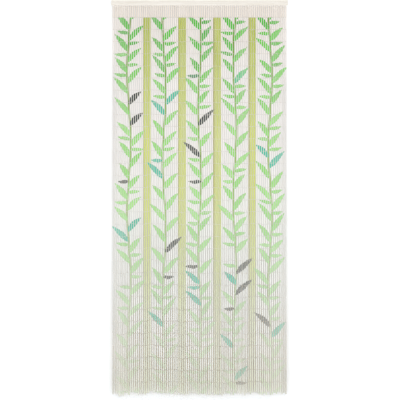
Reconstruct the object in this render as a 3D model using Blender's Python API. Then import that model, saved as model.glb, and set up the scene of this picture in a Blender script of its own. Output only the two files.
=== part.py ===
# Bamboo bead door curtain on its wooden batten.
#
# Metres, +Z up. +X runs along the batten and -Y is the side that is looked at. The origin is the
# middle of the batten's top face, which goes up against the head of a door frame.
#
# The batten is one piece. The strands are one piece too: a narrow strip under the batten, where
# the real curtain has its row of wire eyes, and a four-sided strand for each string of bamboo
# tubes, with the lean, the partings and the uneven hem that the strings hang in.

import math

import bmesh
import bpy

# Batten
BATTEN_LENGTH = 0.900
BATTEN_DEPTH = 0.014
BATTEN_HEIGHT = 0.028
BATTEN_EDGE_RADIUS = 0.0022
BATTEN_EDGE_STEPS = 3
GROOVE_DROP = 0.0095
GROOVE_WIDTH = 0.0026
GROOVE_DEPTH = 0.0012

# Strands
STRAND_COUNT = 90
STRAND_PITCH = 0.00989
TUBE_DIAMETER = 0.0066
TUBE_PITCH = 0.062
TUBES_PER_STRAND = 32
WIRE_TAIL = 0.001
STRIP_HEIGHT = 0.0022
PIECE_GAP = 0.0003
SEGMENTS = 10
CROWDING = 1.35
ROUNDED_UP_TO_DEG = 100

# How the strands hang: sizes are at the hem, in metres, and waves are counted over the width
SIDE_LEANS = (
    {"size": 0.0014, "waves": 2.3, "start": 0.4},
    {"size": 0.0008, "waves": 6.7, "start": 2.2},
)
DEPTH_LEANS = (
    {"size": 0.0012, "waves": 3.1, "start": 1.1},
    {"size": 0.0009, "waves": 11.3, "start": 0.2},
)
LEAN_GROWTH = 1.5
PARTINGS = (
    {"x": 0.0434, "opens": 0.0032, "reach": 0.030},
    {"x": 0.2765, "opens": 0.0036, "reach": 0.034},
    {"x": -0.3080, "opens": 0.0014, "reach": 0.026},
)
PARTING_STARTS = 0.74
OWN_LEAN = 0.0006
OWN_LEAN_GROWTH = 0.5
HEM_WAVES = (
    {"size": 0.0026, "waves": 1.6, "start": 1.2},
    {"size": 0.0034, "waves": 8.3, "start": 0.3},
)
OWN_HEM = 0.0034
LAST_TUBE_CUT = {"usual": 0.0040, "spread": 0.0090}
SCATTER = {"strand": 12.9898, "salt": 78.233, "size": 43758.5453}

# Finishes
BATTEN_COLOUR = (0.86, 0.80, 0.70)
BATTEN_ROUGHNESS = 0.6
TUBE_COLOUR = (0.82, 0.79, 0.73)
TUBE_ROUGHNESS = 0.55

# Derived sizes
BATTEN_BOTTOM = -BATTEN_HEIGHT
STRIP_TOP = BATTEN_BOTTOM - PIECE_GAP
STRIP_BOTTOM = STRIP_TOP - STRIP_HEIGHT
HEM = BATTEN_BOTTOM - TUBES_PER_STRAND * TUBE_PITCH - WIRE_TAIL
TUBE_RADIUS = TUBE_DIAMETER / 2
FIELD_WIDTH = (STRAND_COUNT - 1) * STRAND_PITCH


def clear_scene():
    """Removes whatever the file opened with."""
    for thing in list(bpy.data.objects):
        bpy.data.objects.remove(thing, do_unlink=True)


def plain_finish(name, colour, roughness):
    """One Principled finish with a plain colour."""
    finish = bpy.data.materials.new(name)
    finish.use_nodes = True
    shader = finish.node_tree.nodes["Principled BSDF"]
    shader.inputs["Base Color"].default_value = (*colour, 1.0)
    shader.inputs["Roughness"].default_value = roughness
    shader.inputs["Metallic"].default_value = 0.0
    finish.diffuse_color = (*colour, 1.0)
    return finish


def place_mesh(name, shape, finish):
    """Turns a bmesh into a named object with its finish."""
    bmesh.ops.recalc_face_normals(shape, faces=shape.faces)
    mesh = bpy.data.meshes.new(name)
    shape.to_mesh(mesh)
    shape.free()
    mesh.materials.append(finish)
    piece = bpy.data.objects.new(name, mesh)
    bpy.context.collection.objects.link(piece)
    return piece


def own_number(strand, salt):
    """A fixed number from -1 to 1 that belongs to one strand."""
    turned = strand * SCATTER["strand"] + salt * SCATTER["salt"]
    value = math.sin(turned) * SCATTER["size"]
    return 2 * (value - math.floor(value)) - 1


def wave_sum(waves, x):
    """The sum of slow waves over the width, at x."""
    turns = x / FIELD_WIDTH
    return sum(w["size"] * math.sin(math.tau * w["waves"] * turns + w["start"]) for w in waves)


def ease(value):
    """0 below 0, 1 above 1 and a smooth rise between."""
    value = min(max(value, 0.0), 1.0)
    return value * value * (3 - 2 * value)


def strand_home(strand):
    """Where a strand hangs along the batten."""
    return (strand - (STRAND_COUNT - 1) / 2) * STRAND_PITCH


def parting_push(x, fall):
    """How far the partings push a strand at x aside, fall being 0 at the batten and 1 at the hem."""
    opened = ease((fall - PARTING_STARTS) / (1 - PARTING_STARTS))
    push = 0.0
    for parting in PARTINGS:
        away = x - parting["x"]
        fade = math.exp(-abs(away) / parting["reach"])
        push += math.copysign(parting["opens"] / 2, away) * fade * opened
    return push


def strand_offset(strand, fall):
    """Sideways and depth offset of a strand, fall being 0 at the batten and 1 at the hem."""
    x = strand_home(strand)
    grown = fall ** LEAN_GROWTH
    own = OWN_LEAN * fall ** OWN_LEAN_GROWTH
    side = wave_sum(SIDE_LEANS, x) * grown + own * own_number(strand, 1) + parting_push(x, fall)
    depth = wave_sum(DEPTH_LEANS, x) * grown + own * own_number(strand, 2)
    return side, depth


def strand_end(strand):
    """The height of one strand's lower end: how far it hangs, less what its last tube is cut by."""
    hung = HEM - wave_sum(HEM_WAVES, strand_home(strand)) - OWN_HEM * own_number(strand, 3)
    cut = LAST_TUBE_CUT["usual"] + LAST_TUBE_CUT["spread"] * own_number(strand, 4)
    return hung + cut


def batten_profile():
    """The batten's section as (y, z) points, round its edges and with a groove along the front."""
    front = -BATTEN_DEPTH / 2
    back = BATTEN_DEPTH / 2
    radius = BATTEN_EDGE_RADIUS
    corners = (
        {"y": back - radius, "z": -radius, "from": 0},
        {"y": front + radius, "z": -radius, "from": 90},
        {"y": front + radius, "z": BATTEN_BOTTOM + radius, "from": 180},
        {"y": back - radius, "z": BATTEN_BOTTOM + radius, "from": 270},
    )
    points = []
    for number, corner in enumerate(corners):
        for step in range(BATTEN_EDGE_STEPS + 1):
            angle = math.radians(corner["from"] + 90 * step / BATTEN_EDGE_STEPS)
            y = corner["y"] + radius * math.cos(angle)
            z = corner["z"] + radius * math.sin(angle)
            points.append((y, z))
        if number == 1:
            points.append((front, -GROOVE_DROP + GROOVE_WIDTH / 2))
            points.append((front + GROOVE_DEPTH, -GROOVE_DROP))
            points.append((front, -GROOVE_DROP - GROOVE_WIDTH / 2))
    return points


def make_batten(finish):
    """A straight wooden batten: its section, extruded along X."""
    shape = bmesh.new()
    section = [shape.verts.new((-BATTEN_LENGTH / 2, y, z)) for y, z in batten_profile()]
    end = shape.faces.new(section)
    grown = bmesh.ops.extrude_face_region(shape, geom=[end])
    moved = [part for part in grown["geom"] if isinstance(part, bmesh.types.BMVert)]
    bmesh.ops.translate(shape, verts=moved, vec=(BATTEN_LENGTH, 0, 0))
    return place_mesh("batten", shape, finish)


def strand_ring(shape, strand, fall):
    """The four corners of a strand's section: right, back, left and front."""
    side, depth = strand_offset(strand, fall)
    x = strand_home(strand) + side
    z = STRIP_BOTTOM + fall * (strand_end(strand) - STRIP_BOTTOM)
    corners = ((TUBE_RADIUS, 0), (0, TUBE_RADIUS), (-TUBE_RADIUS, 0), (0, -TUBE_RADIUS))
    return [shape.verts.new((x + dx, depth + dy, z)) for dx, dy in corners]


def add_strand(shape, strand):
    """A four-sided strand, open at its root. Returns the root's four corners."""
    root = strand_ring(shape, strand, 0.0)
    above = root
    for step in range(1, SEGMENTS + 1):
        fall = 1 - (1 - step / SEGMENTS) ** CROWDING
        below = strand_ring(shape, strand, fall)
        for side in range(4):
            after = (side + 1) % 4
            shape.faces.new((above[side], below[side], below[after], above[after]))
        above = below
    shape.faces.new(list(reversed(above)))
    return root


def add_strip(shape, roots):
    """The narrow strip that the strands' roots are fused into."""
    half = STRAND_PITCH / 2
    ends = [strand_home(0) - half, strand_home(STRAND_COUNT - 1) + half]
    columns = [ends[0]] + [strand_home(strand) for strand in range(STRAND_COUNT)] + [ends[1]]
    top_front = [shape.verts.new((x, -TUBE_RADIUS, STRIP_TOP)) for x in columns]
    top_back = [shape.verts.new((x, TUBE_RADIUS, STRIP_TOP)) for x in columns]
    low_front = [shape.verts.new((x, -TUBE_RADIUS, STRIP_BOTTOM)) for x in ends]
    low_back = [shape.verts.new((x, TUBE_RADIUS, STRIP_BOTTOM)) for x in ends]
    front = [low_front[0]] + [root[3] for root in roots] + [low_front[1]]
    back = [low_back[0]] + [root[1] for root in roots] + [low_back[1]]
    last = len(columns) - 1
    for place in range(last):
        after = place + 1
        shape.faces.new((top_front[place], top_front[after], top_back[after], top_back[place]))
        shape.faces.new((front[place], front[after], top_front[after], top_front[place]))
        shape.faces.new((back[after], back[place], top_back[place], top_back[after]))
        under = [back[place], back[after]]
        if after < last:
            under.append(roots[after - 1][2])
        under += [front[after], front[place]]
        if place > 0:
            under.append(roots[place - 1][0])
        shape.faces.new(under)
    shape.faces.new((front[0], top_front[0], top_back[0], back[0]))
    shape.faces.new((back[last], top_back[last], top_front[last], front[last]))


def make_strand_curtain(finish):
    """All the strands, fused at their roots into one strip and apart below it."""
    shape = bmesh.new()
    roots = [add_strand(shape, strand) for strand in range(STRAND_COUNT)]
    add_strip(shape, roots)
    piece = place_mesh("strand_curtain", shape, finish)
    piece.data.shade_smooth()
    piece.data.set_sharp_from_angle(angle=math.radians(ROUNDED_UP_TO_DEG))
    return piece


def build():
    """Makes the curtain's two pieces."""
    clear_scene()
    batten_wood = plain_finish("batten_wood", BATTEN_COLOUR, BATTEN_ROUGHNESS)
    painted_bamboo = plain_finish("painted_bamboo", TUBE_COLOUR, TUBE_ROUGHNESS)
    make_batten(batten_wood)
    make_strand_curtain(painted_bamboo)


build()
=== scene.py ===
"""Looks of a bamboo bead door curtain: tubes on wire links, a printed face and a wooden batten."""
import math

import bmesh
import bpy
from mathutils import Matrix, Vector


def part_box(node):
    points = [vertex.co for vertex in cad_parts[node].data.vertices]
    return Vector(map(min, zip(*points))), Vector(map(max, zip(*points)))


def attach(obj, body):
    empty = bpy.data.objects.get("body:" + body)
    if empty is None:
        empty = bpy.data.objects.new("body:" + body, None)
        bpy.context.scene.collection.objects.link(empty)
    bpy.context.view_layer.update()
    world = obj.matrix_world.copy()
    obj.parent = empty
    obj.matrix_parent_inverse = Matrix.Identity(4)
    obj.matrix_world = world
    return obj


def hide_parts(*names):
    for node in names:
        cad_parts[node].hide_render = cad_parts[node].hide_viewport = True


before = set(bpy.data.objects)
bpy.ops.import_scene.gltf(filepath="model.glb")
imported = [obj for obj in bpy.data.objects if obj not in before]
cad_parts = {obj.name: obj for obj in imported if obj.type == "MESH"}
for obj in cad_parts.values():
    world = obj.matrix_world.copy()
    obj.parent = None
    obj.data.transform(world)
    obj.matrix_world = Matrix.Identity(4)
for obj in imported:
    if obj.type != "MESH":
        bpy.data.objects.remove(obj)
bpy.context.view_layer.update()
batten_low, batten_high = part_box("batten")
strands_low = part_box("strand_curtain")[0]

# How the strands hang, in metres. These are the sizes that the solids were made with.
STRAND_COUNT = 90
STRAND_PITCH = 0.00989
TUBE_DIAMETER = 0.0066
TUBE_PITCH = 0.062
TUBES_PER_STRAND = 32
WIRE_TAIL = 0.001
LEAN_GROWTH = 1.5
SIDE_LEANS = (
    {"size": 0.0014, "waves": 2.3, "start": 0.4},
    {"size": 0.0008, "waves": 6.7, "start": 2.2},
)
DEPTH_LEANS = (
    {"size": 0.0012, "waves": 3.1, "start": 1.1},
    {"size": 0.0009, "waves": 11.3, "start": 0.2},
)
PARTINGS = (
    {"x": 0.0434, "opens": 0.0032, "reach": 0.030},
    {"x": 0.2765, "opens": 0.0036, "reach": 0.034},
    {"x": -0.3080, "opens": 0.0014, "reach": 0.026},
)
PARTING_STARTS = 0.74
OWN_LEAN = 0.0006
OWN_LEAN_GROWTH = 0.5
HEM_WAVES = (
    {"size": 0.0026, "waves": 1.6, "start": 1.2},
    {"size": 0.0034, "waves": 8.3, "start": 0.3},
)
OWN_HEM = 0.0034
LAST_TUBE_CUT = {"usual": 0.0040, "spread": 0.0090}
SCATTER = {"strand": 12.9898, "salt": 78.233, "size": 43758.5453}
FIELD_WIDTH = (STRAND_COUNT - 1) * STRAND_PITCH
BATTEN_BOTTOM = batten_low.z
HEM = BATTEN_BOTTOM - TUBES_PER_STRAND * TUBE_PITCH - WIRE_TAIL

# Tubes: thickness and length vary by a share, tips are in radians and the bow is in metres
STRANDS_PER_PIECE = 30
LINK_GAP = 0.0018
TUBE_SIDES = 10
THICKNESS_SPREAD = 0.07
LENGTH_SPREAD = 0.008
TUBE_TIP = 0.008
TUBE_BOW = 0.0007
BOW_SCALE = (60.0, 60.0, 34.0)
BOW_SCATTER = (90, 40, 70)
BORE_SHARE = 0.46
BORE_DEPTH = 0.0025
CUT_FACE_SHARE = 0.8
SHARP_BEND = math.radians(50)

# Wire eyes between the tubes
WIRE_DIAMETER = 0.0007
WIRE_SIDES = 4
EYE_RADIUS = 0.0010
EYE_STEPS = 8
EYE_TURN_SPREAD = 0.5
TOP_JOINT = BATTEN_BOTTOM + 0.0014
NEAR_HEM = 0.999

# Batten: its section, its softened ends and how far its front and groove stray from true
BATTEN_EDGE_RADIUS = 0.0022
BATTEN_EDGE_STEPS = 5
BATTEN_STEPS = 90
GROOVE_DROP = 0.0095
GROOVE_HALF_WIDTH = 0.0016
GROOVE_DEPTH = 0.0011
GROOVE_SECTION = (
    {"up": 1.0, "deep": 0.0},
    {"up": 0.6, "deep": 0.35},
    {"up": 0.3, "deep": 0.85},
    {"up": 0.0, "deep": 1.0},
    {"up": -0.3, "deep": 0.85},
    {"up": -0.6, "deep": 0.35},
    {"up": -1.0, "deep": 0.0},
)
BATTEN_ENDS = (
    {"from_end": 0.0, "inset": 0.0007},
    {"from_end": 0.0003, "inset": 0.0002},
    {"from_end": 0.0010, "inset": 0.0},
)
FRONT_STRAYS = (
    {"size": 0.00011, "turn": 31, "start": 0.7},
    {"size": 0.00008, "turn": 83, "start": 2.1},
)
GROOVE_STRAYS = ({"size": 0.00018, "turn": 23, "start": 1.9},)

# Colours as seen on screen, 0 to 255
PALETTE = {
    "stripe": (154, 170, 0),
    "faded stripe": (190, 200, 112),
    "low stripe": (176, 190, 138),
    "stripe streak": (206, 214, 70),
    "stripe shade": (120, 100, 20),
    "stem": (96, 140, 10),
    "faded stem": (140, 172, 92),
    "dark leaf": (0, 160, 0),
    "light leaf": (64, 194, 0),
    "faded dark leaf": (128, 208, 96),
    "faded light leaf": (156, 222, 126),
    "leaf edge": (30, 96, 20),
    "leaf rib": (196, 220, 130),
    "dark bamboo": (206, 182, 142),
    "light bamboo": (228, 209, 176),
    "bamboo fibre": (170, 141, 99),
    "bore shade": (92, 70, 44),
    "first dark paint": (221, 216, 213),
    "first light paint": (226, 221, 218),
    "painted light below batten": (237, 233, 229),
    "paint fibre": (200, 190, 172),
    "painted side shade": (160, 165, 158),
    "outer strand shade": (153, 150, 142),
    "dull wire": (165, 162, 156),
    "rubbed wire": (205, 202, 196),
    "washed wood": (221, 217, 210),
    "wood grain": (210, 204, 193),
    "wood fleck": (188, 174, 150),
    "wood edge painted light": (240, 238, 235),
}

# Print: plain stripes, and columns of leaf sprigs between them. A rule with "from" and "to" says
# where something sets in and where it is whole, and "by" how strong it is there. Rules on the print
# and the paint count metres down from the batten, unless their comment says otherwise.
COLUMN_PITCH = 0.180
PRINT_AGES = {"from": 0.0, "to": 0.75}
PRINT_FADES = {"from": 0.75, "to": 2.0, "by": 0.80}
STRIPE_WIDTH = 0.039
STRIPE_SOFTNESS = 0.001
STRIPE_PALES = {"from": 1.0, "to": 1.9}
STRIPES_END = 0.40
STREAK_SCALE = {"across": 220, "down": 5}
STEM_HALF_WIDTH = 0.0052
STEM_SOFTNESS = 0.0004
STEM_SWAY = 0.0085
STEM_WAVE = 0.71
STEM_START = 2.3
LEAF_ROWS = (
    {"first": 0.034, "step": 0.108, "root": 0.092, "length": 0.108,
     "width": 0.031, "lean": 41, "bend": 0.016, "kept": 0.97, "salt": 3},
    {"first": 0.082, "step": 0.108, "root": 0.060, "length": 0.066,
     "width": 0.021, "lean": 84, "bend": -0.010, "kept": 0.62, "salt": 8},
)
LEAF_FORM = {
    "lean_spread": 0.22,
    "shortest": 0.86,
    "length_spread": 0.26,
    "root_power": 0.62,
    "crown": 1.36,
}
LEAF_EDGE_SHARE = 0.20
LEAF_RIB_SHARE = 0.15
RARE_LEAVES = (
    {"above": 0.80, "fresh": (0, 182, 150), "faded": (40, 184, 158)},
    {"above": 0.90, "fresh": (0, 14, 40), "faded": (24, 44, 52)},
)
RARE_LEAVES_START = {"from": 0.24, "to": 0.46}
RARE_LEAVES_FADE = {"from": 0.75, "to": 2.0, "by": 0.42}

# Print rules that count otherwise: STREAKS_SHOW by its noise, the rest in metres from a stripe's
# middle, in from a leaf's edge or away from its rib
STRIPE_SHADE = {"from": 0.013, "to": 0.016, "by": 0.55}
STREAKS_SHOW = {"from": 0.40, "to": 0.66, "by": 0.45}
LEAF_COVER = {"from": 0.0, "to": 0.0010}
LEAF_EDGE = {"from": 0.0016, "to": 0.0038}
LEAF_RIB = {"from": 0.0003, "to": 0.0012}

# Paint: an off-white ground that changes tone down the curtain, with painted shade on the outer strands
# and on the tubes' sides low down
# The first paint gives the first row its own beige; its slow change into the lighter first ground, down
# to 0.45 m, is painted shade of the dimmer light near the batten
GROUNDS = (
    {"from": 0.10, "to": 0.45, "dark": (225, 223, 223), "light": (230, 228, 228)},
    {"from": 0.60, "to": 1.20, "dark": (224, 226, 224), "light": (229, 231, 229)},
    {"from": 1.70, "to": 2.00, "dark": (216, 220, 211), "light": (221, 225, 216)},
)
# The paint is lighter in the 5 mm below the batten: painted light, lifting the shade that the batten
# casts on the tubes' tops
LIGHT_BELOW_BATTEN = {"from": 0.0, "to": 0.005}
# The tubes' sides, from 1.4 m down, are painted grey: painted shade between the tubes
SIDE_SHADE_LOW = {"from": 1.4, "to": 1.9, "by": 0.6}
# The outermost strands are painted darker, high up and low down: painted shade at the curtain's edges
OUTER_SHADE_HIGH = {"from": 0.15, "to": 0.45, "by": 0.25}
OUTER_SHADE_LOW = {"from": 1.3, "to": 1.9, "by": 0.20}
PAINT_NARROWS = {"from": 1.2, "to": 1.8, "by": 0.8}
PRINTED_ROWS = {"from": TUBE_PITCH - 0.002, "to": TUBE_PITCH + 0.002}
FIRST_ROW_THINNER = 0.15
ENDS_THINNER = 0.15
PRINT_SLIP = 0.004
SLIP_SCATTER = 977

# Paint rules that count otherwise: OUTER_STRANDS in metres from the curtain's middle, the next three
# from -1 at a tube's back to 1 at its front, and the rest in shares
OUTER_STRANDS = {"from": 0.405, "to": 0.440}
FACES_FRONT = {"from": 0.30, "to": 0.85}
PAINTED_FRONT = {"from": -0.60, "to": -0.15}
PRINTED_FRONT = {"from": -0.40, "to": 0.0}
BAMBOO_FIBRES = {"from": 0.45, "to": 0.75, "by": 0.40}
PAINT_FIBRES = {"from": 0.50, "to": 0.80, "by": 0.12}
NEAR_TUBE_END = {"from": 0.975, "to": 0.992}
TUBE_END_UNEVEN = 0.01
CUT_FACE = {"from": 0.0, "to": 0.1}
BORE_SHADE = {"from": 0.45, "to": 1.0, "by": 0.8}

# Grain: how often each pattern turns in a metre along X, Y and Z
FIBRE_SCALE = (1700.0, 1700.0, 26.0)
FIBRE_SCATTER = {"x": 50, "y": 90}
BLOTCH_SCALE = (240.0, 240.0, 60.0)
WIRE_WEAR_SCALE = (700.0, 700.0, 700.0)
WOOD_GRAIN_SCALE = (4.5, 260.0, 200.0)
WOOD_BEND_SCALE = (7.0, 20.0, 20.0)
WOOD_BEND = {"along": 2, "across": 3}
WOOD_FLECK_SCALE = (60.0, 1500.0, 1500.0)
WOOD_GRAIN_SHOWS = {"from": 0.30, "to": 0.72}
WOOD_FLECKS_SHOW = {"from": 0.60, "to": 0.74, "by": 0.30}

# Batten edges, painted lighter as painted highlights: heights from its top, and drops below it
TOP_EDGE_LIGHT = {"from": -0.0045, "to": -0.0005}
LOW_EDGE_LIGHT = {"from": 0.0250, "to": 0.0285, "by": 0.8}
EDGE_LIGHT_SHARE = 0.7

# Picture
PIXELS = 400
PIXELS_PER_METRE = 196.0
PHOTO_CENTRE_X = 199.5
CAMERA_DISTANCE = 6.5
SENSOR_WIDTH = 36.0
FARTHEST_SEEN = 100.0

# Stage
FLOOR_DROP = 0.045
STAGE_HALF_WIDTH = 3.0
STAGE_DEPTH = 4.0
BACKDROP_GAP = 0.004
BACKDROP_FOOT = 0.018
BACKDROP_RISE = 0.060
SHEER_FROM = 0.9
SHEER_TO = 1.5
SHEER = 0.23
FLOOR_WHITE = (0.9, 0.9, 0.9, 1.0)
BACKDROP_WHITE = (0.88, 0.905, 0.93, 1.0)
LAMPS = (
    {"name": "soft_left", "place": (-1.7, -4.2, -0.5), "watts": 30},
    {"name": "soft_right", "place": (1.7, -4.2, -0.5), "watts": 38},
    {"name": "soft_back", "place": (0.0, 4.0, -0.2), "watts": 34},
)
LAMP_AIM = (0.0, 0.0, -1.0)
LAMP_SIZE = 2.6


def srgb(red, green, blue):
    """A colour as seen on screen, 0 to 255, turned into light."""

    def light(value):
        value /= 255
        return value / 12.92 if value <= 0.04045 else ((value + 0.055) / 1.055) ** 2.4

    return (light(red), light(green), light(blue), 1.0)


def tint(name):
    """A colour of the palette, as light."""
    return srgb(*PALETTE[name])


class Value:
    """A number that changes over a surface or from point to point. Arithmetic on it adds nodes."""

    def __init__(self, book, socket):
        self.book = book
        self.socket = socket

    def also(self, result):
        """Another result of the same node."""
        return Value(self.book, self.socket.node.outputs[result])

    def __add__(self, other):
        return self.book.maths("ADD", self, other)

    __radd__ = __add__

    def __sub__(self, other):
        return self.book.maths("SUBTRACT", self, other)

    def __rsub__(self, other):
        return self.book.maths("SUBTRACT", other, self)

    def __mul__(self, other):
        return self.book.maths("MULTIPLY", self, other)

    __rmul__ = __mul__

    def __truediv__(self, other):
        return self.book.maths("DIVIDE", self, other)

    def __mod__(self, other):
        return self.book.maths("FLOORED_MODULO", self, other)

    def __pow__(self, other):
        return self.book.maths("POWER", self, other)

    def __gt__(self, other):
        return self.book.maths("GREATER_THAN", self, other)

    def __lt__(self, other):
        return self.book.maths("LESS_THAN", self, other)

    def __abs__(self):
        return self.book.maths("ABSOLUTE", self)


class NodeBook:
    """Adds nodes to one tree, for a finish or for a repeat of geometry."""

    def __init__(self, tree):
        self.tree = tree

    def add(self, kind, settings=None, sockets=None, result=0):
        """Adds a node, sets it, then fills its sockets with values or links."""
        node = self.tree.nodes.new(kind)
        for name, value in (settings or {}).items():
            setattr(node, name, value)
        for name, value in (sockets or {}).items():
            self.fill(node.inputs[name], value)
        return Value(self, node.outputs[result]) if node.outputs else node

    def fill(self, socket, value):
        """Links a result to a socket, or sets a plain value on it."""
        if isinstance(value, Value):
            self.tree.links.new(value.socket, socket)
        else:
            socket.default_value = value

    def maths(self, operation, *values):
        """One Math node."""
        return self.add("ShaderNodeMath", {"operation": operation}, dict(enumerate(values)))

    def vector(self, x=0.0, y=0.0, z=0.0):
        """A vector from three numbers."""
        return self.add("ShaderNodeCombineXYZ", None, {0: x, 1: y, 2: z})

    def vector_maths(self, operation, *values):
        """One Vector Math node."""
        return self.add("ShaderNodeVectorMath", {"operation": operation}, dict(enumerate(values)))

    def rise(self, value, low, high):
        """0 below low, 1 above high and a smooth rise between."""
        settings = {"interpolation_type": "SMOOTHSTEP"}
        return self.add("ShaderNodeMapRange", settings, {0: value, 1: low, 2: high})

    def rise_by(self, value, rule):
        """A smooth rise between a rule's ends, to the height that it gives or else to 1."""
        risen = self.rise(value, rule["from"], rule["to"])
        return risen * rule["by"] if "by" in rule else risen

    def band(self, away, half_width, softness):
        """1 up to half a width away and 0 past it, with a soft edge."""
        return 1 - self.rise(away, half_width - softness, half_width + softness)

    def blend(self, share, first, second):
        """A colour between two."""
        settings = {"data_type": "RGBA", "clamp_factor": True}
        return self.add("ShaderNodeMix", settings, {0: share, 6: first, 7: second}, 2)

    def noise(self, place, detail=2.0, roughness=0.5):
        """Soft noise at a place that is already scaled."""
        sockets = {"Vector": place, "Scale": 1.0, "Detail": detail, "Roughness": roughness}
        return self.add("ShaderNodeTexNoise", {"noise_dimensions": "3D"}, sockets)

    def scaled_noise(self, place, scale):
        """Soft noise that turns a number of times in a metre, given along each axis."""
        return self.noise(self.vector_maths("MULTIPLY", place, scale))

    def object_place(self):
        """The place on the piece, in metres."""
        return self.add("ShaderNodeTexCoord", None, None, "Object")

    def attribute(self, name):
        """A number kept on the mesh."""
        return self.add("ShaderNodeAttribute", {"attribute_name": name}, None, "Fac")


# Hanging: the same rules as the solids'

def own_number(strand, salt):
    """A fixed number from -1 to 1 that belongs to one strand."""
    turned = strand * SCATTER["strand"] + salt * SCATTER["salt"]
    value = math.sin(turned) * SCATTER["size"]
    return 2 * (value - math.floor(value)) - 1


def wave_sum(waves, x):
    """The sum of slow waves over the width, at x."""
    turns = x / FIELD_WIDTH
    return sum(w["size"] * math.sin(math.tau * w["waves"] * turns + w["start"]) for w in waves)


def ease(value):
    """0 below 0, 1 above 1 and a smooth rise between."""
    value = min(max(value, 0.0), 1.0)
    return value * value * (3 - 2 * value)


def strand_home(strand):
    """Where a strand hangs along the batten."""
    return (strand - (STRAND_COUNT - 1) / 2) * STRAND_PITCH


def parting_push(x, fall):
    """How far the partings push a strand at x aside, fall being 0 at the batten and 1 at the hem."""
    opened = ease((fall - PARTING_STARTS) / (1 - PARTING_STARTS))
    push = 0.0
    for parting in PARTINGS:
        away = x - parting["x"]
        fade = math.exp(-abs(away) / parting["reach"])
        push += math.copysign(parting["opens"] / 2, away) * fade * opened
    return push


def strand_offset(strand, fall):
    """Sideways and depth offset of a strand, fall being 0 at the batten and 1 at the hem."""
    x = strand_home(strand)
    grown = fall ** LEAN_GROWTH
    own = OWN_LEAN * fall ** OWN_LEAN_GROWTH
    side = wave_sum(SIDE_LEANS, x) * grown + own * own_number(strand, 1) + parting_push(x, fall)
    depth = wave_sum(DEPTH_LEANS, x) * grown + own * own_number(strand, 2)
    return side, depth


def uncut_end(strand):
    """The height that one strand would end at with a last tube as long as the rest."""
    return HEM - wave_sum(HEM_WAVES, strand_home(strand)) - OWN_HEM * own_number(strand, 3)


def last_tube_cut(strand):
    """How much shorter than the rest one strand's last tube is. Below 0, it is longer."""
    return LAST_TUBE_CUT["usual"] + LAST_TUBE_CUT["spread"] * own_number(strand, 4)


# Pieces made of many small ones

def place_object(name, data):
    """A mesh, lamp or camera as an object in the scene."""
    thing = bpy.data.objects.new(name, data)
    bpy.context.collection.objects.link(thing)
    return thing


def hang_guides(name, first, count):
    """Lines that the strands follow: a point at each link, and one at each tube's middle.

    Each point keeps its strand's place along the batten, how far down it is and its tube's length,
    which is a share of a full tube's.
    """
    shape = bmesh.new()
    home = shape.verts.layers.float.new("strand_x")
    fallen = shape.verts.layers.float.new("fall")
    length_share = shape.verts.layers.float.new("length_share")
    steps = 2 * TUBES_PER_STRAND
    for strand in range(first, first + count):
        lowest = uncut_end(strand) + WIRE_DIAMETER
        cut = last_tube_cut(strand)
        above = None
        for step in range(steps + 1):
            fall = step / steps
            last_tube = max(step - (steps - 2), 0) / 2
            side, depth = strand_offset(strand, fall)
            z = TOP_JOINT + fall * (lowest - TOP_JOINT) + last_tube * cut
            point = shape.verts.new((strand_home(strand) + side, depth, z))
            point[home] = strand_home(strand)
            point[fallen] = fall
            point[length_share] = 1 - cut / (TUBE_PITCH - LINK_GAP) if last_tube else 1.0
            if above:
                shape.edges.new((above, point))
            above = point
    mesh = bpy.data.meshes.new(name)
    shape.to_mesh(mesh)
    shape.free()
    return place_object(name, mesh)


def repeat_tree(name, sizes):
    """An empty geometry tree with a named input for each size, and the node that gives them."""
    tree = bpy.data.node_groups.new(name, "GeometryNodeTree")
    tree.interface.new_socket("Geometry", in_out="INPUT", socket_type="NodeSocketGeometry")
    for label, kind in sizes.items():
        tree.interface.new_socket(label, in_out="INPUT", socket_type="NodeSocket" + kind)
    tree.interface.new_socket("Geometry", in_out="OUTPUT", socket_type="NodeSocketGeometry")
    book = NodeBook(tree)
    return book, book.add("NodeGroupInput")


def random_number(book, low, high, seed):
    """A number for each point, from low to high."""
    sockets = {2: low, 3: high, 8: seed}
    return book.add("FunctionNodeRandomValue", {"data_type": "FLOAT"}, sockets, 1)


def keep_number(book, geometry, name, value):
    """Keeps a number on each point under a name."""
    settings = {"data_type": "FLOAT", "domain": "POINT"}
    sockets = {"Geometry": geometry, "Name": name, "Value": value}
    return book.add("GeometryNodeStoreNamedAttribute", settings, sockets)


def kept_number(book, name):
    """A number that the points keep under a name."""
    return book.add("GeometryNodeInputNamedAttribute", {"data_type": "FLOAT"}, {"Name": name})


def strand_points(book, given):
    """The guides' points: even ones at the links, odd ones at the tubes' middles."""
    curve = book.add("GeometryNodeMeshToCurve", None, {"Mesh": given.also("Geometry")})
    return book.add("GeometryNodeCurveToPoints", {"mode": "EVALUATED"}, {"Curve": curve})


def odd_place(book, given):
    """1 at odd points of a strand and 0 at even ones."""
    index = book.add("GeometryNodeInputIndex")
    place = index % (given.also("Tubes on a strand") * 2 + 1)
    return place % 2


def upright_turn(book, tangent, spin, tip_x, tip_y):
    """Turns +Z along a strand, after a spin and a small tip of the piece's own."""
    along = book.add("FunctionNodeAlignRotationToVector", {"axis": "Z"}, {"Vector": tangent})
    own = book.add("FunctionNodeEulerToRotation", None, {0: book.vector(tip_x, tip_y, spin)})
    settings = {"rotation_space": "LOCAL"}
    return book.add("FunctionNodeRotateRotation", settings, {"Rotation": along, "Rotate By": own})


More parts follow.
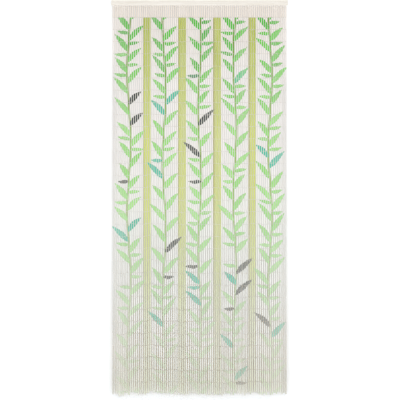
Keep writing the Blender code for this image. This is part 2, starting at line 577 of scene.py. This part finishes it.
def sunk_ends(book, tube, tube_ends):
    """A tube with a rim round each end and a bore sunk inside it."""
    rim = book.add(
        "GeometryNodeExtrudeMesh",
        {"mode": "FACES"},
        {"Mesh": tube, "Selection": tube_ends, "Offset Scale": 0.0},
    )
    inner = book.add(
        "GeometryNodeScaleElements",
        {"domain": "FACE"},
        {"Geometry": rim, "Selection": rim.also("Top"), "Scale": BORE_SHARE},
    )
    return book.add(
        "GeometryNodeExtrudeMesh",
        {"mode": "FACES"},
        {"Mesh": inner, "Selection": rim.also("Top"), "Offset Scale": -BORE_DEPTH},
    )


def smooth_sides(book, mesh):
    """Shades a mesh smooth but for its sharp edges."""
    rounded = book.add(
        "GeometryNodeSetShadeSmooth",
        {"domain": "FACE"},
        {"Geometry": mesh, "Shade Smooth": True},
    )
    bend = book.add("GeometryNodeInputMeshEdgeAngle")
    return book.add(
        "GeometryNodeSetShadeSmooth",
        {"domain": "EDGE"},
        {"Geometry": rounded, "Selection": bend > SHARP_BEND, "Shade Smooth": False},
    )


def bored_tube(book, given):
    """One tube about the origin, with a bore sunk into each end.

    It keeps "along", from -1 at its foot to 1 at its head, and "cut", 1 at its bores and 0 outside.
    """
    length = given.also("Tube pitch") - given.also("Link gap")
    radius = given.also("Tube diameter") / 2
    sockets = {
        "Vertices": given.also("Sides"),
        "Side Segments": 2,
        "Fill Segments": 1,
        "Radius": radius,
        "Depth": length,
    }
    tube = book.add("GeometryNodeMeshCylinder", {"fill_type": "NGON"}, sockets)
    place = book.add("GeometryNodeInputPosition")
    height = book.add("ShaderNodeSeparateXYZ", None, {0: place}, "Z")
    tube_ends = book.maths("MAXIMUM", tube.also("Top"), tube.also("Bottom"))
    solid = keep_number(book, tube, "along", height * 2 / length)
    bored = sunk_ends(book, solid, tube_ends)
    flat_place = book.vector_maths("MULTIPLY", place, (1.0, 1.0, 0.0))
    out = book.add("ShaderNodeVectorMath", {"operation": "LENGTH"}, {0: flat_place}, "Value")
    return smooth_sides(book, keep_number(book, bored, "cut", out < radius * CUT_FACE_SHARE))


def tube_tree():
    """Geometry nodes that string bamboo tubes down the guides.

    Each tube keeps its depth, how far it has swung aside from its home and a tone of its own.
    """
    book, given = repeat_tree("tubes_on_strands", {
        "Tubes on a strand": "Int",
        "Tube pitch": "Float",
        "Tube diameter": "Float",
        "Link gap": "Float",
        "Sides": "Int",
        "Thickness spread": "Float",
        "Length spread": "Float",
        "Tip": "Float",
        "Bow": "Float",
        "Seed": "Int",
        "Finish": "Material",
    })
    seed = given.also("Seed")
    points = strand_points(book, given)
    spot = book.add("GeometryNodeInputPosition")
    hung_x = book.add("ShaderNodeSeparateXYZ", None, {0: spot}, "X")
    kept = keep_number(book, points, "strand_y", hung_x.also("Y"))
    kept = keep_number(book, kept, "swung_x", hung_x - kept_number(book, "strand_x"))
    kept = keep_number(book, kept, "tube_tone", random_number(book, 0.0, 1.0, seed + 1))
    tip = given.also("Tip")
    turn = upright_turn(
        book,
        points.also("Tangent"),
        random_number(book, 0.0, math.tau, seed + 2),
        random_number(book, -1.0, 1.0, seed + 3) * tip,
        random_number(book, -1.0, 1.0, seed + 4) * tip,
    )
    thick = random_number(book, -1.0, 1.0, seed + 5) * given.also("Thickness spread") + 1
    long = random_number(book, -1.0, 1.0, seed + 6) * given.also("Length spread") + 1
    long = long * kept_number(book, "length_share")
    strung = book.add("GeometryNodeInstanceOnPoints", None, {
        "Points": kept,
        "Selection": odd_place(book, given),
        "Instance": bored_tube(book, given),
        "Rotation": turn,
        "Scale": book.vector(thick, thick, long),
    })
    real = book.add("GeometryNodeRealizeInstances", None, {"Geometry": strung})
    bow = book.vector(given.also("Bow"), given.also("Bow"), 0.0)
    moved = book.add("GeometryNodeSetPosition", None, {
        "Geometry": real,
        "Offset": book.vector_maths("MULTIPLY", tube_unevenness(book), bow),
    })
    finished = book.add("GeometryNodeSetMaterial", None, {
        "Geometry": moved,
        "Material": given.also("Finish"),
    })
    book.add("NodeGroupOutput", None, {"Geometry": finished})
    return book.tree


def tube_unevenness(book):
    """A slow shift of each tube's points, its own by its tone, about zero along each axis."""
    tone = kept_number(book, "tube_tone")
    place = book.add("GeometryNodeInputPosition")
    scaled = book.vector_maths("MULTIPLY", place, BOW_SCALE)
    own_place = book.vector(*(tone * share for share in BOW_SCATTER))
    uneven = book.noise(book.vector_maths("ADD", scaled, own_place), detail=1.0)
    return book.vector_maths("SUBTRACT", uneven.also("Color"), (0.5, 0.5, 0.5))


def wire_eye(book, given, middle, turned):
    """One closed wire eye round a middle height, in the XZ plane or turned to the YZ plane."""
    ring = book.add("GeometryNodeCurvePrimitiveCircle", None, {
        "Resolution": given.also("Eye steps"),
        "Radius": given.also("Eye radius"),
    })
    wire = book.add("GeometryNodeCurvePrimitiveCircle", None, {
        "Resolution": given.also("Wire sides"),
        "Radius": given.also("Wire diameter") / 2,
    })
    bent = book.add("GeometryNodeCurveToMesh", None, {"Curve": ring, "Profile Curve": wire})
    return book.add("GeometryNodeTransform", None, {
        "Geometry": bent,
        "Translation": book.vector(0.0, 0.0, middle),
        "Rotation": (math.pi / 2, 0.0, math.pi / 2 if turned else 0.0),
    })


def link_tree():
    """Geometry nodes that hook one wire eye into the next between the tubes."""
    book, given = repeat_tree("links_on_strands", {
        "Tubes on a strand": "Int",
        "Eye radius": "Float",
        "Wire diameter": "Float",
        "Eye steps": "Int",
        "Wire sides": "Int",
        "Turn spread": "Float",
        "Seed": "Int",
        "Finish": "Material",
    })
    seed = given.also("Seed")
    points = strand_points(book, given)
    spin = random_number(book, -1.0, 1.0, seed + 1) * given.also("Turn spread")
    turn = book.add("FunctionNodeEulerToRotation", None, {0: book.vector(0.0, 0.0, spin)})
    at_link = 1 - odd_place(book, given)
    above_hem = at_link * (kept_number(book, "fall") < NEAR_HEM)
    reach = given.also("Eye radius") - given.also("Wire diameter") / 2
    upper = book.add("GeometryNodeInstanceOnPoints", None, {
        "Points": points,
        "Selection": at_link,
        "Instance": wire_eye(book, given, reach, False),
        "Rotation": turn,
    })
    lower = book.add("GeometryNodeInstanceOnPoints", None, {
        "Points": points,
        "Selection": above_hem,
        "Instance": wire_eye(book, given, reach * -1, True),
        "Rotation": turn,
    })
    both = book.add("GeometryNodeJoinGeometry")
    for eyes in (upper, lower):
        book.tree.links.new(eyes.socket, both.socket.node.inputs[0])
    real = book.add("GeometryNodeRealizeInstances", None, {"Geometry": both})
    round_wire = book.add("GeometryNodeSetShadeSmooth", {"domain": "FACE"}, {"Geometry": real})
    finished = book.add("GeometryNodeSetMaterial", None, {
        "Geometry": round_wire,
        "Material": given.also("Finish"),
    })
    book.add("NodeGroupOutput", None, {"Geometry": finished})
    return book.tree


def run_tree(name, guide, tree, sizes):
    """Runs a tree on its guides and keeps the result as a plain mesh."""
    modifier = guide.modifiers.new("repeat", "NODES")
    modifier.node_group = tree
    inputs = [item for item in tree.interface.items_tree if item.in_out == "INPUT"]
    identifiers = {item.name: item.identifier for item in inputs}
    for label, value in sizes.items():
        modifier[identifiers[label]] = value
    graph = bpy.context.evaluated_depsgraph_get()
    mesh = bpy.data.meshes.new_from_object(guide.evaluated_get(graph))
    mesh.name = name
    bpy.data.objects.remove(guide, do_unlink=True)
    return place_object(name, mesh)


def make_strands(tube_finish, wire_finish):
    """All the tubes and links, in a few pieces side by side."""
    tubes, links = tube_tree(), link_tree()
    made = []
    for number, first in enumerate(range(0, STRAND_COUNT, STRANDS_PER_PIECE)):
        guide = hang_guides("tube_guide", first, STRANDS_PER_PIECE)
        tube_piece = run_tree(f"bamboo_tubes_{number + 1}", guide, tubes, {
            "Tubes on a strand": TUBES_PER_STRAND,
            "Tube pitch": TUBE_PITCH,
            "Tube diameter": TUBE_DIAMETER,
            "Link gap": LINK_GAP,
            "Sides": TUBE_SIDES,
            "Thickness spread": THICKNESS_SPREAD,
            "Length spread": LENGTH_SPREAD,
            "Tip": TUBE_TIP,
            "Bow": TUBE_BOW,
            "Seed": 10 * number,
            "Finish": tube_finish,
        })
        guide = hang_guides("link_guide", first, STRANDS_PER_PIECE)
        link_piece = run_tree(f"wire_links_{number + 1}", guide, links, {
            "Tubes on a strand": TUBES_PER_STRAND,
            "Eye radius": EYE_RADIUS,
            "Wire diameter": WIRE_DIAMETER,
            "Eye steps": EYE_STEPS,
            "Wire sides": WIRE_SIDES,
            "Turn spread": EYE_TURN_SPREAD,
            "Seed": 10 * number + 5,
            "Finish": wire_finish,
        })
        made.append({"tubes": tube_piece, "links": link_piece})
    return made


# Batten

def stray(waves, x):
    """How far something strays from true at x."""
    return sum(w["size"] * math.sin(x * w["turn"] + w["start"]) for w in waves)


def batten_ring(x, inset):
    """The batten's section at x as points, round its edges and with a groove along the front."""
    radius = BATTEN_EDGE_RADIUS
    front = batten_low.y + inset + abs(stray(FRONT_STRAYS, x))
    back = batten_high.y - inset
    top, bottom = batten_high.z - inset, batten_low.z + inset
    corners = (
        {"y": back - radius, "z": top - radius, "from": 0},
        {"y": front + radius, "z": top - radius, "from": 90},
        {"y": front + radius, "z": bottom + radius, "from": 180},
        {"y": back - radius, "z": bottom + radius, "from": 270},
    )
    points = []
    for number, corner in enumerate(corners):
        for step in range(BATTEN_EDGE_STEPS + 1):
            angle = math.radians(corner["from"] + 90 * step / BATTEN_EDGE_STEPS)
            y = corner["y"] + radius * math.cos(angle)
            z = corner["z"] + radius * math.sin(angle)
            points.append(Vector((x, y, z)))
        if number == 1:
            middle = batten_high.z - GROOVE_DROP + stray(GROOVE_STRAYS, x)
            for spot in GROOVE_SECTION:
                y = front + GROOVE_DEPTH * spot["deep"]
                z = middle + GROOVE_HALF_WIDTH * spot["up"]
                points.append(Vector((x, y, z)))
    return points


def make_batten(finish):
    """The batten as a long loft with softened ends and edges that aren't quite straight."""
    shape = bmesh.new()
    start, end = batten_low.x, batten_high.x
    stations = [(start + row["from_end"], row["inset"]) for row in BATTEN_ENDS]
    for step in range(1, BATTEN_STEPS):
        stations.append((start + (end - start) * step / BATTEN_STEPS, 0.0))
    stations += [(end - row["from_end"], row["inset"]) for row in reversed(BATTEN_ENDS)]
    rings = [[shape.verts.new(point) for point in batten_ring(x, inset)] for x, inset in stations]
    for ring, after in zip(rings, rings[1:]):
        for place in range(len(ring)):
            beside = (place + 1) % len(ring)
            shape.faces.new((ring[place], after[place], after[beside], ring[beside]))
    shape.faces.new(list(reversed(rings[0])))
    shape.faces.new(rings[-1])
    bmesh.ops.recalc_face_normals(shape, faces=shape.faces)
    mesh = bpy.data.meshes.new("batten_bar")
    shape.to_mesh(mesh)
    shape.free()
    mesh.materials.append(finish)
    mesh.shade_smooth()
    mesh.set_sharp_from_angle(angle=SHARP_BEND)
    return place_object("batten_bar", mesh)


# Finishes

def new_finish(name):
    """A material with an empty tree, and its node book."""
    finish = bpy.data.materials.new(name)
    finish.use_nodes = True
    finish.node_tree.nodes.clear()
    return finish, NodeBook(finish.node_tree)


def close_finish(book, sockets):
    """Ends a finish with a Principled shader."""
    shader = book.add("ShaderNodeBsdfPrincipled", None, sockets)
    book.add("ShaderNodeOutputMaterial", None, {"Surface": shader})


def raised(book, height, strength, distance):
    """A bump from a height."""
    sockets = {"Strength": strength, "Distance": distance, "Height": height}
    return book.add("ShaderNodeBump", None, sockets)


def leaf_row(book, from_stem, column, drop, row):
    """Leaves by turns on a stem's two sides: their cover, edges, ribs and each leaf's own number."""
    side = from_stem > 0
    level = (drop - row["first"] + side * (row["step"] / 2)) / row["step"]
    number = book.maths("FLOOR", level)
    down = (level - number) * row["step"]
    own = book.add(
        "ShaderNodeTexWhiteNoise",
        {"noise_dimensions": "3D"},
        {"Vector": book.vector(column * 2 + side, number, row["salt"])},
    )
    split = book.add("ShaderNodeSeparateColor", None, {0: own.also("Color")}, 0)
    lean = (split - 0.5) * LEAF_FORM["lean_spread"] + math.radians(row["lean"])
    length = row["length"] * (split.also(1) * LEAF_FORM["length_spread"] + LEAF_FORM["shortest"])
    up = row["root"] - down
    out = abs(from_stem)
    sine, cosine = book.maths("SINE", lean), book.maths("COSINE", lean)
    share = (out * sine + up * cosine) / length
    aside = out * cosine - up * sine + (share - share * share) * row["bend"]
    filled = book.maths("MAXIMUM", share, 0.0) ** LEAF_FORM["root_power"] * (1 - share)
    inside = filled * (row["width"] * LEAF_FORM["crown"]) - abs(aside)
    cover = book.rise_by(inside, LEAF_COVER)
    edge = 1 - book.rise_by(inside, LEAF_EDGE)
    rib = 1 - book.rise_by(abs(aside), LEAF_RIB)
    return cover * (split.also(2) < row["kept"]), edge, rib, own.also("Value")


def stripe_colour(book, age, from_stripe, from_column, across, drop):
    """The stripes' yellow green, with paler streaks and a darker left edge."""
    streak_place = book.vector(across * STREAK_SCALE["across"], drop * STREAK_SCALE["down"], 1.0)
    colour = book.blend(age, tint("stripe"), tint("faded stripe"))
    colour = book.blend(book.rise_by(drop, STRIPE_PALES), colour, tint("low stripe"))
    streaks = book.rise_by(book.noise(streak_place), STREAKS_SHOW)
    colour = book.blend(streaks, colour, tint("stripe streak"))
    shade = book.rise_by(from_stripe, STRIPE_SHADE) * (from_column > 0)
    return book.blend(shade, colour, tint("stripe shade"))


def leaf_colour(book, own, edge, rib, age, rare):
    """A leaf's colour: most are green, and some further down are teal or slate."""
    green = book.blend(own, tint("dark leaf"), tint("light leaf"))
    faded = book.blend(own, tint("faded dark leaf"), tint("faded light leaf"))
    colour = book.blend(age, green, faded)
    for kind in RARE_LEAVES:
        rare_colour = book.blend(age, srgb(*kind["fresh"]), srgb(*kind["faded"]))
        colour = book.blend((own > kind["above"]) * rare, colour, rare_colour)
    colour = book.blend(edge * LEAF_EDGE_SHARE, colour, tint("leaf edge"))
    return book.blend(rib * LEAF_RIB_SHARE, colour, tint("leaf rib"))


def sprig_print(book, across, drop):
    """The print: plain upright stripes with columns of leaf sprigs between. Its colour and its cover."""
    age = book.rise_by(drop, PRINT_AGES)
    column = book.maths("FLOOR", across / COLUMN_PITCH + 0.5)
    from_column = across - column * COLUMN_PITCH
    from_stripe = COLUMN_PITCH / 2 - abs(from_column)
    stripe = book.band(from_stripe, STRIPE_WIDTH / 2, STRIPE_SOFTNESS)
    stripe = stripe * (abs(across) < STRIPES_END)
    colour = stripe_colour(book, age, from_stripe, from_column, across, drop)

    sway = book.maths("SINE", drop * (math.tau / STEM_WAVE) + column * STEM_START) * STEM_SWAY
    from_stem = from_column - sway
    stem = book.band(abs(from_stem), STEM_HALF_WIDTH, STEM_SOFTNESS)
    colour = book.blend(stem, colour, book.blend(age, tint("stem"), tint("faded stem")))
    fade = 1 - book.rise_by(drop, PRINT_FADES)
    rare_fade = 1 - book.rise_by(drop, RARE_LEAVES_FADE)
    cover = book.maths("MAXIMUM", stripe, stem) * fade

    rare = book.rise_by(drop, RARE_LEAVES_START)
    for row in LEAF_ROWS:
        leaf, edge, rib, own = leaf_row(book, from_stem, column, drop, row)
        colour = book.blend(leaf, colour, leaf_colour(book, own, edge, rib, age, rare))
        is_rare = (own > RARE_LEAVES[0]["above"]) * rare
        leaf_fade = fade + is_rare * (rare_fade - fade)
        cover = book.maths("MAXIMUM", cover, leaf * leaf_fade)
    return colour, cover


def bare_bamboo(book, tone, fibre):
    """Bamboo without paint, with darker fibres."""
    colour = book.blend(tone, tint("dark bamboo"), tint("light bamboo"))
    return book.blend(book.rise_by(fibre, BAMBOO_FIBRES), colour, tint("bamboo fibre"))


def ground_paint(book, tone, fibre, facing, strand, drop):
    """The off-white ground: its tone down the curtain, its fibres, and painted shade on its tubes' sides
    and on the outer strands.
    """
    # First paint: the first row's own beige, and painted shade of the dimmer light near the batten until
    # the first ground takes over
    colour = book.blend(tone, tint("first dark paint"), tint("first light paint"))
    # Painted light: lighter paint just below the batten, against the shade that the batten casts
    colour = book.blend(1 - book.rise_by(drop, LIGHT_BELOW_BATTEN), colour, tint("painted light below batten"))
    for ground in GROUNDS:
        whole = book.blend(tone, srgb(*ground["dark"]), srgb(*ground["light"]))
        colour = book.blend(book.rise_by(drop, ground), colour, whole)
    colour = book.blend(book.rise_by(fibre, PAINT_FIBRES), colour, tint("paint fibre"))
    # Painted shade: the tubes' sides low down turn grey, for the shade between the tubes
    beside = 1 - book.rise_by(facing, FACES_FRONT)
    colour = book.blend(beside * book.rise_by(drop, SIDE_SHADE_LOW), colour, tint("painted side shade"))
    # Painted shade: the outermost strands are painted darker
    outer_shade = book.rise_by(drop, OUTER_SHADE_HIGH) + book.rise_by(drop, OUTER_SHADE_LOW)
    outer_shade = outer_shade * book.rise_by(abs(strand), OUTER_STRANDS)
    return book.blend(outer_shade, colour, tint("outer strand shade"))


def painted_bamboo():
    """Bamboo tubes, thinly painted in front, printed from the second row down and bare at the back."""
    finish, book = new_finish("printed_bamboo")
    place = book.object_place()
    split = book.add("ShaderNodeSeparateXYZ", None, {0: place})
    tone = book.attribute("tube_tone")
    strand = book.attribute("strand_x")
    along = abs(book.attribute("along"))
    cut = book.attribute("cut")
    across = split - book.attribute("swung_x")
    facing = (book.attribute("strand_y") - split.also("Y")) / (TUBE_DIAMETER / 2)
    drop = BATTEN_BOTTOM - split.also("Z")

    own_place = book.vector(tone * FIBRE_SCATTER["x"], tone * FIBRE_SCATTER["y"], 0.0)
    fibre_place = book.vector_maths("MULTIPLY", place, FIBRE_SCALE)
    fibre_place = book.vector_maths("ADD", fibre_place, own_place)
    fibre = book.noise(fibre_place, detail=3.0, roughness=0.6)
    blotch = book.scaled_noise(place, BLOTCH_SCALE)

    slip_settings = {"noise_dimensions": "1D"}
    slip_sockets = {"W": strand * SLIP_SCATTER}
    slip = book.add("ShaderNodeTexWhiteNoise", slip_settings, slip_sockets, "Value")
    slipped_drop = drop + (slip - 0.5) * PRINT_SLIP
    print_colour, print_cover = sprig_print(book, across, slipped_drop)

    reach = facing - book.rise_by(drop, PAINT_NARROWS)
    on_rows = book.rise_by(drop, PRINTED_ROWS)
    near_end = book.rise_by(along + (blotch - 0.5) * TUBE_END_UNEVEN, NEAR_TUBE_END)
    uncut = 1 - book.rise_by(cut, CUT_FACE)
    paint = book.rise_by(reach, PAINTED_FRONT) * uncut * (1 - near_end * ENDS_THINNER)
    ground = paint * (1 - (1 - on_rows) * FIRST_ROW_THINNER)
    painted = ground_paint(book, tone, fibre, facing, strand, drop)
    colour = book.blend(ground, bare_bamboo(book, tone, fibre), painted)
    printed = print_cover * book.rise_by(reach, PRINTED_FRONT) * uncut * on_rows
    colour = book.blend(printed, colour, print_colour)
    # Painted shade: the bores are painted dark brown for the shade inside each tube's hollow
    colour = book.blend(book.rise_by(cut, BORE_SHADE), colour, tint("bore shade"))
    close_finish(book, {
        "Base Color": colour,
        "Roughness": 0.42 + fibre * 0.16 + (1 - paint) * 0.08,
        "Specular IOR Level": 0.3,
        "Normal": raised(book, fibre * 0.6 + blotch * 0.4, strength=0.35, distance=0.00025),
    })
    return finish


def link_steel():
    """Thin steel wire, dull and a little dark where it rubs."""
    finish, book = new_finish("link_steel")
    wear = book.scaled_noise(book.object_place(), WIRE_WEAR_SCALE)
    close_finish(book, {
        "Base Color": book.blend(wear, tint("dull wire"), tint("rubbed wire")),
        "Metallic": 0.85,
        "Roughness": 0.30 + wear * 0.25,
        "Normal": raised(book, wear, strength=0.15, distance=0.00005),
    })
    return finish


def batten_wood():
    """Pale wood under a thin white wash, with grain along the batten and painted highlights on its top
    and bottom edges.
    """
    finish, book = new_finish("washed_wood")
    place = book.object_place()
    bend = book.scaled_noise(place, WOOD_BEND_SCALE)
    across = bend * WOOD_BEND["across"]
    bent = book.vector(bend * WOOD_BEND["along"], across, across)
    stretched = book.vector_maths("MULTIPLY", place, WOOD_GRAIN_SCALE)
    grain = book.noise(book.vector_maths("ADD", stretched, bent), detail=5.0, roughness=0.65)
    fleck = book.scaled_noise(place, WOOD_FLECK_SCALE)
    grain_shows = book.rise_by(grain, WOOD_GRAIN_SHOWS)
    colour = book.blend(grain_shows, tint("washed wood"), tint("wood grain"))
    colour = book.blend(book.rise_by(fleck, WOOD_FLECKS_SHOW), colour, tint("wood fleck"))
    height = book.add("ShaderNodeSeparateXYZ", None, {0: place}, "Z")
    # Painted highlights: the batten's top and bottom edges are painted lighter
    top_light = book.rise_by(height, TOP_EDGE_LIGHT)
    low_light = book.rise_by(height * -1, LOW_EDGE_LIGHT)
    edge_light = book.maths("MAXIMUM", top_light, low_light)
    colour = book.blend(edge_light * EDGE_LIGHT_SHARE, colour, tint("wood edge painted light"))
    close_finish(book, {
        "Base Color": colour,
        "Roughness": 0.52 + grain * 0.18,
        "Normal": raised(book, grain * 0.7 + fleck * 0.3, strength=0.4, distance=0.0004),
    })
    return finish


# Stage, light and camera

def backdrop_surface(book, matt):
    """A surface that shows from the front alone, casts no shadow and is a little sheer higher up."""
    clear = book.add("ShaderNodeBsdfTransparent")
    behind = book.add("ShaderNodeNewGeometry", None, None, "Backfacing")
    shadow = book.add("ShaderNodeLightPath", None, None, "Is Shadow Ray")
    height = book.add("ShaderNodeSeparateXYZ", None, {0: book.object_place()}, "Z")
    sheer = (1 - book.rise(BATTEN_BOTTOM - height, SHEER_FROM, SHEER_TO)) * SHEER
    unseen = book.maths("MAXIMUM", book.maths("MAXIMUM", behind, shadow), sheer)
    return book.add("ShaderNodeMixShader", None, {0: unseen, 1: matt, 2: clear})


def plain_sheet(name, corners, white, backdrop=False):
    """A flat pale sheet of the stage: the floor, or the backdrop that shows from the front alone."""
    mesh = bpy.data.meshes.new(name)
    mesh.from_pydata(corners, [], [(0, 1, 2, 3)])
    finish, book = new_finish(name)
    matt = book.add("ShaderNodeBsdfDiffuse", None, {"Color": white})
    surface = backdrop_surface(book, matt) if backdrop else matt
    book.add("ShaderNodeOutputMaterial", None, {"Surface": surface})
    mesh.materials.append(finish)
    sheet = place_object(name, mesh)


def make_stage():
    """A pale floor below the hem, and a pale backdrop behind that stands further off lower down."""
    floor = strands_low.z - FLOOR_DROP
    top = batten_high.z + BACKDROP_RISE
    near = batten_high.y + BACKDROP_GAP
    lean = (BACKDROP_FOOT - BACKDROP_GAP) / (batten_high.z - strands_low.z)
    high_y = near - lean * (top - batten_high.z)
    low_y = near + lean * (batten_high.z - floor)
    side = STAGE_HALF_WIDTH
    front_edge = [(-side, -STAGE_DEPTH, floor), (side, -STAGE_DEPTH, floor)]
    foot = [(side, low_y, floor), (-side, low_y, floor)]
    head = [(side, high_y, top), (-side, high_y, top)]
    plain_sheet("floor", front_edge + foot, FLOOR_WHITE)
    plain_sheet("backdrop", foot[::-1] + head, BACKDROP_WHITE, backdrop=True)


def soft_light(name, place, aim, size, watts):
    """A large soft lamp that points at aim."""
    lamp = bpy.data.lights.new(name, "AREA")
    lamp.size = size
    lamp.energy = watts
    light = place_object(name, lamp)
    light.location = place
    light.rotation_euler = (Vector(aim) - Vector(place)).to_track_quat("-Z", "Y").to_euler()


def light_scene():
    """White surroundings, two soft lamps in front and one behind."""
    world = bpy.data.worlds.new("white_room")
    bpy.context.scene.world = world
    world.use_nodes = True
    ground = world.node_tree.nodes["Background"]
    ground.inputs["Color"].default_value = (1.0, 1.0, 1.0, 1.0)
    ground.inputs["Strength"].default_value = 1.0
    for lamp in LAMPS:
        soft_light(lamp["name"], lamp["place"], LAMP_AIM, LAMP_SIZE, lamp["watts"])
    bpy.context.scene.view_settings.view_transform = "Standard"
    bpy.context.scene.view_settings.look = "None"


def place_camera():
    """Square on to the curtain, with the batten along the picture's top edge as in the photo."""
    half_picture = PIXELS / 2 / PIXELS_PER_METRE
    camera = bpy.data.cameras.new("camera")
    camera.sensor_width = SENSOR_WIDTH
    camera.lens = SENSOR_WIDTH / 2 * CAMERA_DISTANCE / half_picture
    camera.clip_end = FARTHEST_SEEN
    view = place_object("camera", camera)
    aside = (PIXELS / 2 - PHOTO_CENTRE_X) / PIXELS_PER_METRE
    view.location = (aside, -CAMERA_DISTANCE, -half_picture)
    view.rotation_euler = (math.pi / 2, 0.0, 0.0)
    bpy.context.scene.camera = view


def build():
    """Dresses the frame."""
    strands = make_strands(painted_bamboo(), link_steel())
    batten_bar = make_batten(batten_wood())
    for part in strands:
        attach(part["tubes"], "root")
        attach(part["links"], "root")
        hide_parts("strand_curtain")
    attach(batten_bar, "root")
    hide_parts("batten")
    make_stage()
    light_scene()
    place_camera()


build()
